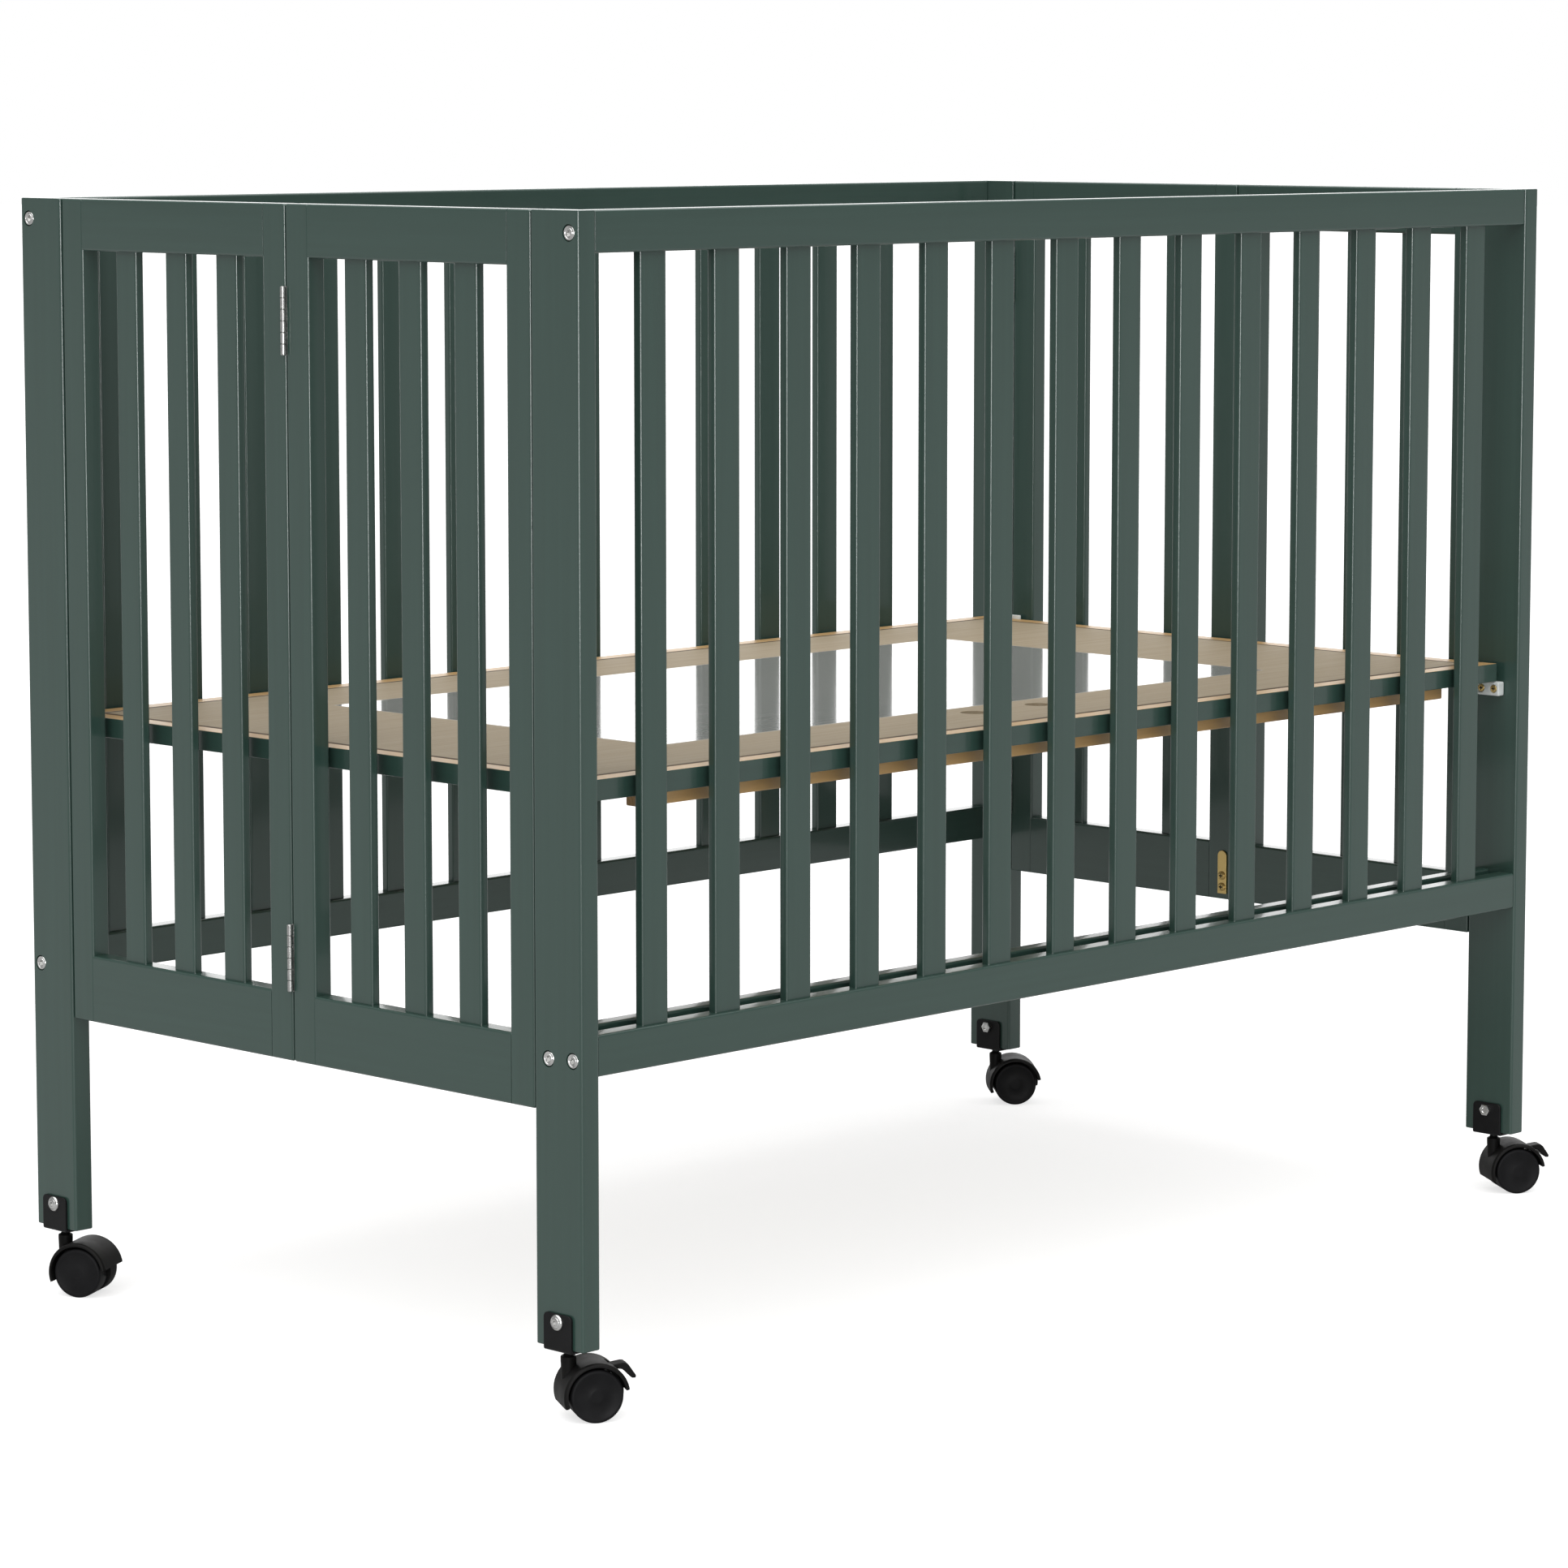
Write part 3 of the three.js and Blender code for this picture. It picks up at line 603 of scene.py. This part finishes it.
class PLAYPEN_OT_hinges(bpy.types.Operator):
    """Butt hinges: six knuckles each, three to a leaf, and a plain pin through them"""
    bl_idname = "playpen.hinges"
    bl_label = "Hinges"

    def leaf(self, first, side):
        """Local leaf about the Z axis with its plate towards -X: a thin plate, a tongue to each knuckle,
        and each knuckle a tube with eased ends."""
        tall, each, play = 62.6, 62.6 / 6, 0.15
        y = (side * play, side * (play + 1.3))
        parts = [bar((-18, y[0], -tall / 2), (-2.95, y[1], tall / 2), 0.3, along=2, steps=2)]
        for k in range(first, 6, 2):
            low = -tall / 2 + k * each + play
            high = low + each - 2 * play
            if first:
                rings = [(2.0, low), (2.56, low + 0.5), (2.56, high - 0.5), (2.0, high)]
                parts.append(turned(rings, 28))
            else:
                rings = [(1.6, low), (2.0, low), (2.56, low + 0.5), (2.56, high - 0.5), (2.0, high), (1.6, high)]
                parts.append(turned(rings, 28, wrap=True))
            parts.append(bar((-3.1, y[0], low), (-1.9, y[1], high), 0.2, along=2, steps=1))
        if first:
            parts.append(turned([(1.3, -tall / 2 + 0.1), (1.3, tall / 2 - 0.1)], 20))
        return gather(*parts)

    def execute(self, context):
        for end, e in ENDS.items():
            for height in ("upper", "lower"):
                for side, s in SIDES.items():
                    flip = s * e < 0
                    for name, first, y, body in (("post", 0, -1, f"{side}_side"), ("panel", 1, 1, f"{end}_{side}_leaf")):
                        self.fit(f"{end}_{side}_{height}_hinge_{name}_leaf", first, y, flip, e > 0, body)
                for name, first, y in ((("back", 0, -1), ("front", 1, 1)) if e < 0 else
                                       (("front", 0, -1), ("back", 1, 1))):
                    self.fit(f"{end}_centre_{height}_hinge_{name}_leaf", first, y, False, e < 0,
                             f"{end}_{name}_leaf")
        return {"FINISHED"}

    def fit(self, node, first, y, flip, about, body):
        """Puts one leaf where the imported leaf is: its axis lies 2.6 mm inside the box's knuckle side."""
        low, high = box_mm(node)
        x = low[0] + 2.6 if about else high[0] - 2.6
        middle = ((low[1] + 2.6) if abs(high[1] - low[1] - 5.2) < 0.4 else (low[1] + high[1]) / 2)
        tilt = np.diag([1.0, -1.0, -1.0]) if flip else np.eye(3)
        part = moved(self.leaf(first, y), (x, middle, (low[2] + high[2]) / 2), 180 if about else 0, tilt)
        build(f"{node}_steel", part, finish("nickel"), body, node, keep_flat=False)


class PLAYPEN_OT_platform(bpy.types.Operator):
    """Lift-up platform: pine edging with painted sides, ledges, a flush deck with two finger holes and
    the stretcher under the front edge"""
    bl_idname = "playpen.platform"
    bl_label = "Platform"

    def topped(self, piece):
        """Faces that look up take the first material, where the normal's upward part is 0.8 or more, and
        the rest take the second."""
        normals = np.empty(len(piece.data.polygons) * 3)
        piece.data.polygons.foreach_get("normal", normals)
        piece.data.polygons.foreach_set("material_index", (normals[2::3] < 0.8).astype(np.int32))

    def strip(self, name, low, high, along):
        """An edging strip: bare pine on top, painted elsewhere."""
        kind = "long" if along == 0 else "cross"
        self.topped(build(name, bar(low, high, 1.0, 0.25, along=along, steps=3),
                          [finish(f"{kind} pine"), finish(f"{kind} green")], "platform",
                          "platform_frame"))

    def execute(self, context):
        w = context.scene.playpen_platform.strip
        low, high = box_mm("platform_frame")
        z0, z1 = low[2], high[2]
        self.strip("platform_front_edging", (low[0], low[1], z0), (high[0], low[1] + w, z1), 0)
        self.strip("platform_back_edging", (low[0], high[1] - w, z0), (high[0], high[1], z1), 0)
        self.strip("platform_left_edging", (low[0], low[1] + w, z0), (low[0] + w, high[1] - w, z1), 1)
        self.strip("platform_right_edging", (high[0] - w, low[1] + w, z0), (high[0], high[1] - w, z1), 1)
        ledge, top = 10, z1 - 9.3
        for name, a, b, kind in (
                ("front", (low[0] + w, low[1] + w), (high[0] - w, low[1] + w + ledge), "long"),
                ("back", (low[0] + w, high[1] - w - ledge), (high[0] - w, high[1] - w), "long"),
                ("left", (low[0] + w, low[1] + w + ledge), (low[0] + w + ledge, high[1] - w - ledge), "cross"),
                ("right", (high[0] - w - ledge, low[1] + w + ledge), (high[0] - w, high[1] - w - ledge), "cross")):
            build(f"platform_{name}_ledge", bar((*a, z0 + 0.3), (*b, top), 0.8, 0.3), finish(f"{kind} pine"),
                  "platform", "platform_frame")
        low, high = box_mm("platform_deck")
        middle = (low[0] + high[0]) / 2
        through = [moved(turned([(13, -12), (13, 4)], 48), (middle + x, low[1] + 79.7, high[2])) for x in (-46.5, 46.5)]
        ease = np.array([0.6, 0.6, 0.0])
        self.topped(build("platform_board", carved(bar(low + ease, high - ease, 0.9, 0.9, along=0, steps=2), *through),
                          [finish("deck"), finish("deck back")], "platform", "platform_deck", bevel=0.6))
        low, high = box_mm("platform_stretcher")
        build("platform_stretcher_bar", bar(low, high, 1.6, 1.0), finish("long pine"),
              "platform", "platform_stretcher")
        return {"FINISHED"}


class PLAYPEN_OT_fittings(bpy.types.Operator):
    """Platform supports with their sunk screws, the pivot straps, and the latch plates"""
    bl_idname = "playpen.fittings"
    bl_label = "Supports, pivots and latches"

    def execute(self, context):
        for end, e in ENDS.items():
            inward = UP_TO_MINUS_X if e > 0 else UP_TO_X
            for side, s in SIDES.items():
                node = f"{side}_{end}_platform_support"
                low, high = box_mm(node)
                face = low[0] if e > 0 else high[0]
                spots = [((low[1] + high[1]) / 2 + y, (low[2] + high[2]) / 2) for y in (-8, 8)]
                seats = [moved(turned([(4.3, -2), *arc(1.4, 3.7, -0.35, -90, 0, 4), (5.3, 1)], 32),
                               (face, y, z), tilt=inward) for y, z in spots]
                block = bar(low, high, 1.4, 1.4, along=1, steps=4)
                if s > 0:
                    strap = box_mm(f"{end}_platform_pivot")
                    pivot = (HALF_Y - 34, (strap[0][2] + strap[1][2]) / 2 - 2.6)
                    seats.append(moved(turned([(15, -8), (15, 8)], 64), ((low[0] + high[0]) / 2, *pivot), tilt=UP_TO_X))
                build(f"{node}_block", carved(block, *seats), finish("white nylon"), f"{side}_side",
                      node)
                heads = [moved(screw(4.0, 1.5), (face + e * 1.5, y, z), tilt=inward) for y, z in spots]
                build(f"{node}_screws", gather(*heads), finish("brass"), f"{side}_side", node,
                      keep_flat=False)
                # Black inserts in the screw recesses: painted shade for the shadow in each recess.
                marks = [moved(recess(4.0, 1.5), (face + e * 1.5, y, z), tilt=inward) for y, z in spots]
                build(f"{node}_screw_recess_painted_shade", gather(*marks), finish("black coat"), f"{side}_side", node,
                      keep_flat=False)
            node = f"{end}_platform_pivot"
            low, high = box_mm(node)
            inner, outer = (low[0], low[0] + 3) if e > 0 else (high[0] - 3, high[0])
            turn_y, mid = HALF_Y - 34, (low[2] + high[2]) / 2
            radius = (high[2] - low[2]) / 2
            t = np.linspace(-pi / 2, pi / 2, 17)
            outline = [(low[1], mid - radius), *zip(turn_y + radius * np.cos(t), mid + radius * np.sin(t)),
                       (low[1], mid + radius)]
            pin = (mid - 2.6)
            shaft = moved(turned([(2.6, 0), (3, 0.4), (3, high[0] - low[0] - 0.4), (2.6, high[0] - low[0])], 28),
                          (low[0], turn_y, pin), tilt=UP_TO_X)
            build(f"{node}_strap", slab(outline, inner, outer, normal=0), finish("white nylon"), "platform",
                  node, bevel=0.7)
            build(f"{node}_pin", shaft, finish("bolt zinc"), "platform", node)
            node = f"{end}_latch_plate"
            low, high = box_mm(node)
            centre, radius = (low[1] + high[1]) / 2, (high[1] - low[1]) / 2
            t = np.linspace(0, pi, 21)
            outline = [(low[1], low[2] + 0.5), (low[1] + 0.5, low[2]), (high[1] - 0.5, low[2]), (high[1], low[2] + 0.5),
                       *zip(centre + radius * np.cos(t), high[2] - radius + radius * np.sin(t))]
            build(f"{node}_tongue", slab(outline, low[0], high[0], normal=0), finish("brass"), f"{end}_back_leaf",
                  node, bevel=0.4)
            face = low[0] if e > 0 else high[0]
            heads = [moved(screw(4.7, 2.1), (face, centre, low[2] + z), tilt=inward) for z in (7.5, 20.1)]
            build(f"{node}_screws", gather(*heads), finish("brass"), f"{end}_back_leaf", node,
                  keep_flat=False)
            # Black inserts in the screw recesses: painted shade for the shadow in each recess.
            marks = [moved(recess(4.7, 2.1), (face, centre, low[2] + z), tilt=inward) for z in (7.5, 20.1)]
            build(f"{node}_screw_recess_painted_shade", gather(*marks), finish("black coat"), f"{end}_back_leaf", node,
                  keep_flat=False)
        return {"FINISHED"}


TRAILS = {"front_left": -30.2, "front_right": -34.4, "back_left": -62.6, "back_right": -41.4}


class PLAYPEN_OT_casters(bpy.types.Operator):
    """Twin-wheel casters: bent steel shoe with its bolt, hooded housing with a neck and stem, wheel pair,
    and a foot brake on the front two"""
    bl_idname = "playpen.casters"
    bl_label = "Casters"

    def hood(self, c, wide):
        """The hood: a band with rounded shoulders, as wide as the wheel pair, carried round the axle from
        just above level at the back to below level at the front."""
        t = np.linspace(0, pi / 2, 6)
        shoulder = 3.4
        half = wide / 2
        y = np.concatenate([half - shoulder + shoulder * np.sin(t)[::-1], -half + shoulder - shoulder * np.sin(t)])
        drop = np.concatenate([shoulder * (1 - np.cos(t))[::-1], shoulder * (1 - np.cos(t))])
        outer = c.hood - drop * 0.75
        inner = np.full_like(outer, c.hood - c.hood_wall)
        angle = np.radians(np.linspace(10, 199, 49))
        radius = np.concatenate([outer, inner[::-1]])
        across = np.concatenate([y, y[::-1]])
        rings = np.stack([radius[None, :] * np.cos(angle)[:, None], np.broadcast_to(across, (len(angle), len(across))),
                          radius[None, :] * np.sin(angle)[:, None]], -1)
        points, faces = weave(rings, caps=False)
        n, m = len(y), len(across)
        i = np.arange(n - 1)
        start = np.stack([i, i + 1, m - 2 - i, m - 1 - i], -1)
        last = start[:, ::-1] + (len(angle) - 1) * m
        points, faces = outward(points, [faces[0], start[:, ::-1], last[:, ::-1]])
        return points + np.array([c.trail, 0, c.tread]), faces

    def web(self, c):
        """The plate between the wheels, a disc cut off level below the axle."""
        t = np.radians(np.linspace(-10, 190, 41))
        outline = np.stack([(c.hood - 2) * np.cos(t) + c.trail, (c.hood - 2) * np.sin(t) + c.tread], -1)
        return slab(outline, -4, 4)

    def housing(self, c, brake):
        """Hood, plate and neck in one piece, with the brake's slot cut through."""
        neck = turned([(4.5, 35), (6.2, 36.5), (6.6, 41), (6.8, 50), (7.0, 53.4), (7.0, 57.2), (6.4, 57.9),
                       (5.2, 57.9), (4.2, 59.5)], 40)
        parts = [self.hood(c, 46), self.web(c)]
        if brake:
            outline = [(12.2, 42.6), (21, 42.4), (25.5, 39.6), (60, 37.4), (60, 62), (12.2, 62)]
            room = slab([(c.trail + u, z) for u, z in outline], -7.6, 7.6)
            parts = [carved(part, room) for part in parts]
        return gather(*parts, neck)

    def wheel_pair(self, c):
        """Two treads and their axle: each a turned disc with a rounded shoulder, a shallow dished face
        and a small boss."""
        r, a, b = c.tread, 4.5, 21.5
        face = [*arc(1.0, r - 1.0, a + 1.0, -90, 0, 3), *arc(2.6, r - 2.6, b - 2.6, 0, 80, 6),
                (r - 3.4, b - 0.15), (r - 4.2, b - 0.75), (r - 12, b - 0.95), (6.4, b - 0.95), (6.0, b - 0.75),
                (5.4, b - 0.7), (0.6, b - 0.7)]
        one = turned([(0.6, a), *face], 72)
        two = moved(one, tilt=np.diag([1.0, -1.0, -1.0]))
        axle = turned([(3, -5), (3, 5)], 24)
        return moved(gather(one, two, axle), (c.trail, 0, r), tilt=UP_TO_Y)

    def lever(self, c):
        """The brake's side outline, carried across its width."""
        x, z = c.trail + 15.6, 46.4
        path = [(-1, 1.0), (3.5, 2.2), (11, 3.3), (13.8, 3.0), (16.2, 1.2), (19.8, -4.0), (23, -8.8), (22.6, -11.0),
                (19.2, -10.9), (15.0, -7.0), (12.4, -4.2), (10.4, -2.6), (7.6, -2.0), (4, -1.9), (1, -2.1), (-0.6, -1.2)]
        return slab([(x + u, z + v) for u, v in path], -7, 7)

    def shoe(self, low, high, mid):
        """Bent sheet round the foot of the post: a U with rounded bends, carried across the post, its four
        top corners rounded off by a cutter that fills the corner outside a quarter circle."""
        x0, x1 = mid[0] - 10.75 - 2.8, mid[0] + 10.75 + 2.8
        z0, z1, sheet, bend = 63.0, 97.0, 2.5, 2.2
        t = np.linspace(0, pi / 2, 5)
        left = [(x0 + bend - bend * cos(a), z0 + bend - bend * sin(a)) for a in t]
        right = [(x1 - bend + bend * sin(a), z0 + bend - bend * cos(a)) for a in t]
        outline = [(x0, z1), *left, *right, (x1, z1), (x1 - sheet, z1), (x1 - sheet, z0 + sheet),
                   (x0 + sheet, z0 + sheet), (x0 + sheet, z1)]
        r, t = 4.5, np.linspace(0, pi / 2, 6)
        corners = []
        for way in (-1, 1):
            y, z = (low[1] + high[1]) / 2 + way * ((high[1] - low[1]) / 2 - r), z1 - r
            off = [(y + way * r * cos(a), z + r * sin(a)) for a in t]
            corners.append(slab([(y + way * (r + 2), z), *off, (y, z + r + 2), (y + way * (r + 2), z + r + 2)],
                                x0 - 2, x1 + 2, normal=0))
        return carved(slab(outline, low[1], high[1]), *corners)

    def execute(self, context):
        c = context.scene.playpen_caster
        for corner, angle in TRAILS.items():
            side, end = corner.split("_")
            e = ENDS[end]
            post = box_mm(f"{corner}_post")
            mid = (post[0] + post[1]) / 2
            spot = (mid[0], mid[1], 0)
            low, high = box_mm(f"{corner}_caster_shoe")
            build(f"{corner}_shoe", self.shoe(low, high, mid), finish("black coat"), f"{side}_side",
                  f"{corner}_caster_shoe", bevel=0.5)
            reach = 10.75 + 2.8
            dome = turned([(7.3, 0), (7.3, 0.5), *[(7.3 * cos(t), 0.5 + 3.2 * sin(t)) for t in np.linspace(0.2, 0.72, 4)],
                           (5.0, 2.35), (4.7, 2.6), (4.2, 3.05), (3.4, 3.4), (2.5, 3.5), (hexagon(2.0), 3.3),
                           (hexagon(2.0), 1.8)], 48)
            nut = turned([(hexagon(5.5), 0), (hexagon(5.5), 3.9), (4.6, 4.4), (3.1, 4.4), (2.6, 3.6)], 48)
            out, back = (UP_TO_X, UP_TO_MINUS_X) if e > 0 else (UP_TO_MINUS_X, UP_TO_X)
            build(f"{corner}_shoe_bolt",
                  gather(moved(dome, (mid[0] + e * reach, mid[1], 89.5), tilt=out),
                         moved(nut, (mid[0] - e * reach, mid[1], 89.5), tilt=back)),
                  finish("bolt zinc"), f"{side}_side", f"{corner}_caster_shoe", keep_flat=False)
            body = f"{corner}_caster"
            brake = side == "front"
            build(f"{corner}_housing", moved(self.housing(c, brake), spot, angle), finish("black nylon"), body,
                  f"{corner}_caster_housing", bevel=0.35)
            stem = turned([(3.9, 55), (3.9, 67.4), (6.3, 67.6), (6.3, 69)], 28)
            build(f"{corner}_stem", moved(stem, spot, angle), finish("black coat"), body,
                  f"{corner}_caster_housing")
            build(f"{corner}_wheel_pair", moved(self.wheel_pair(c), spot, angle), finish("wheel nylon"),
                  f"{corner}_wheels", f"{corner}_caster_wheels", keep_flat=False)
            if brake:
                build(f"{corner}_foot_brake", moved(self.lever(c), spot, angle), finish("black nylon"),
                      f"{corner}_brake", f"{corner}_brake_lever", bevel=0.7)
        return {"FINISHED"}


class PLAYPEN_OT_stage(bpy.types.Operator):
    """Pale floor, soft lights and the camera"""
    bl_idname = "playpen.stage"
    bl_label = "Stage"

    def soft(self, name, kind, power, place, aim, size):
        """A light that looks at a point: a square one of that size, or an even one spread over that angle."""
        lamp = bpy.data.objects.new(name, bpy.data.lights.new(name, kind))
        lamp.data.energy = power
        if kind == "AREA":
            lamp.data.size = size
        else:
            lamp.data.angle = radians(size)
        lamp.location = place
        lamp.rotation_euler = (Vector(aim) - Vector(place)).to_track_quat("-Z", "Y").to_euler()
        bpy.context.scene.collection.objects.link(lamp)
        return lamp

    def execute(self, context):
        scene, s = context.scene, context.scene.playpen_stage
        f = Finish("floor paint", roughness=0.8, specular_ior_level=0.0, emission_color=(1, 1, 1, 1))
        glow = f.span(f.add("LightPath").outputs["Is Camera Ray"], 0, 1, s.glow * 0.2, s.glow)
        tone = tuple(s.floor)
        shade = f.blend(f.span(f.noise(f.place(), 0.7, 2.0), 0.3, 0.7, 0, 1), tone, tuple(c * 0.985 for c in tone))
        paint = f.wire(base_color=shade, emission_strength=glow)
        points = np.array([[-40, -40, 0], [40, -40, 0], [40, 40, 0], [-40, 40, 0]], float) * 1000
        floor = build("floor", (points, [np.array([[0, 1, 2, 3]])]), paint, keep_flat=False)
        floor.visible_shadow = True
        world = bpy.data.worlds.new("room")
        scene.world = world
        world.use_nodes = True
        nodes, links = world.node_tree.nodes, world.node_tree.links
        even, seen = nodes["Background"], nodes.new("ShaderNodeBackground")
        for back, strength in ((even, s.room), (seen, 1.0)):
            back.inputs["Color"].default_value = (1, 1, 1, 1)
            back.inputs["Strength"].default_value = strength
        pick, path = nodes.new("ShaderNodeMixShader"), nodes.new("ShaderNodeLightPath")
        links.new(path.outputs["Is Camera Ray"], pick.inputs[0])
        links.new(even.outputs[0], pick.inputs[1])
        links.new(seen.outputs[0], pick.inputs[2])
        links.new(pick.outputs[0], nodes["World Output"].inputs["Surface"])
        self.soft("overhead", "SUN", s.key, (-2.0, -1.9, 5.0), (0, 0, 0.5), 75)
        for screen in (self.soft("front", "AREA", s.front, (-4.9, -4.9, 0.9), (0, 0, 0.5), 2.0),
                       self.soft("behind", "AREA", s.backdrop, (6.0, 6.0, 1.6), (0, 0, 0.6), 7.0),
                       self.soft("above", "AREA", s.backdrop * 2, (0, 0, 5.5), (0, 0, 0), 9.0)):
            screen.visible_camera = screen.visible_diffuse = False
        eye = bpy.data.objects.new("camera", bpy.data.cameras.new("camera"))
        scene.collection.objects.link(eye)
        eye.location = CENTRE + np.array([-3.7804, -3.6399, 1.1607])
        yaw, pitch = 0.7717, -0.1164
        ahead = Vector((cos(yaw) * cos(pitch), sin(yaw) * cos(pitch), sin(pitch)))
        right = Vector((sin(yaw), -cos(yaw), 0))
        up = right.cross(ahead)
        eye.rotation_euler = Matrix((right, up, -ahead)).transposed().to_euler()
        eye.data.sensor_width = 36
        eye.data.lens = 120.6
        eye.data.shift_y = -0.0502
        eye.data.clip_start, eye.data.clip_end = 0.05, 200
        scene.camera = eye
        scene.view_settings.view_transform = "Standard"
        return {"FINISHED"}


class PLAYPEN_PT_panel(bpy.types.Panel):
    """The playpen's settings and its operators, in the 3D view's sidebar"""
    bl_idname = "PLAYPEN_PT_panel"
    bl_label = "Folding playpen"
    bl_space_type = "VIEW_3D"
    bl_region_type = "UI"
    bl_category = "Playpen"

    def draw(self, context):
        for which in SETTINGS:
            box = self.layout.box()
            for name in SETTINGS[which].__annotations__:
                box.prop(getattr(context.scene, "playpen_" + which), name)
        for operator in OPERATORS:
            self.layout.operator(operator.bl_idname)


SETTINGS = {"timber": TimberSettings, "platform": PlatformSettings, "caster": CasterSettings,
            "stage": StageSettings}
OPERATORS = (PLAYPEN_OT_posts, PLAYPEN_OT_sides, PLAYPEN_OT_ends, PLAYPEN_OT_hinges, PLAYPEN_OT_platform,
             PLAYPEN_OT_fittings, PLAYPEN_OT_casters, PLAYPEN_OT_stage)


def register():
    for which, group in SETTINGS.items():
        bpy.utils.register_class(group)
        setattr(bpy.types.Scene, "playpen_" + which, bpy.props.PointerProperty(type=group))
    for cls in (*OPERATORS, PLAYPEN_PT_panel):
        bpy.utils.register_class(cls)


def unregister():
    for cls in (PLAYPEN_PT_panel, *reversed(OPERATORS)):
        bpy.utils.unregister_class(cls)
    for which, group in SETTINGS.items():
        delattr(bpy.types.Scene, "playpen_" + which)
        bpy.utils.unregister_class(group)


def main():
    register()
    for operator in OPERATORS:
        group, name = operator.bl_idname.split(".")
        getattr(getattr(bpy.ops, group), name)()


if __name__ == "__main__":
    main()
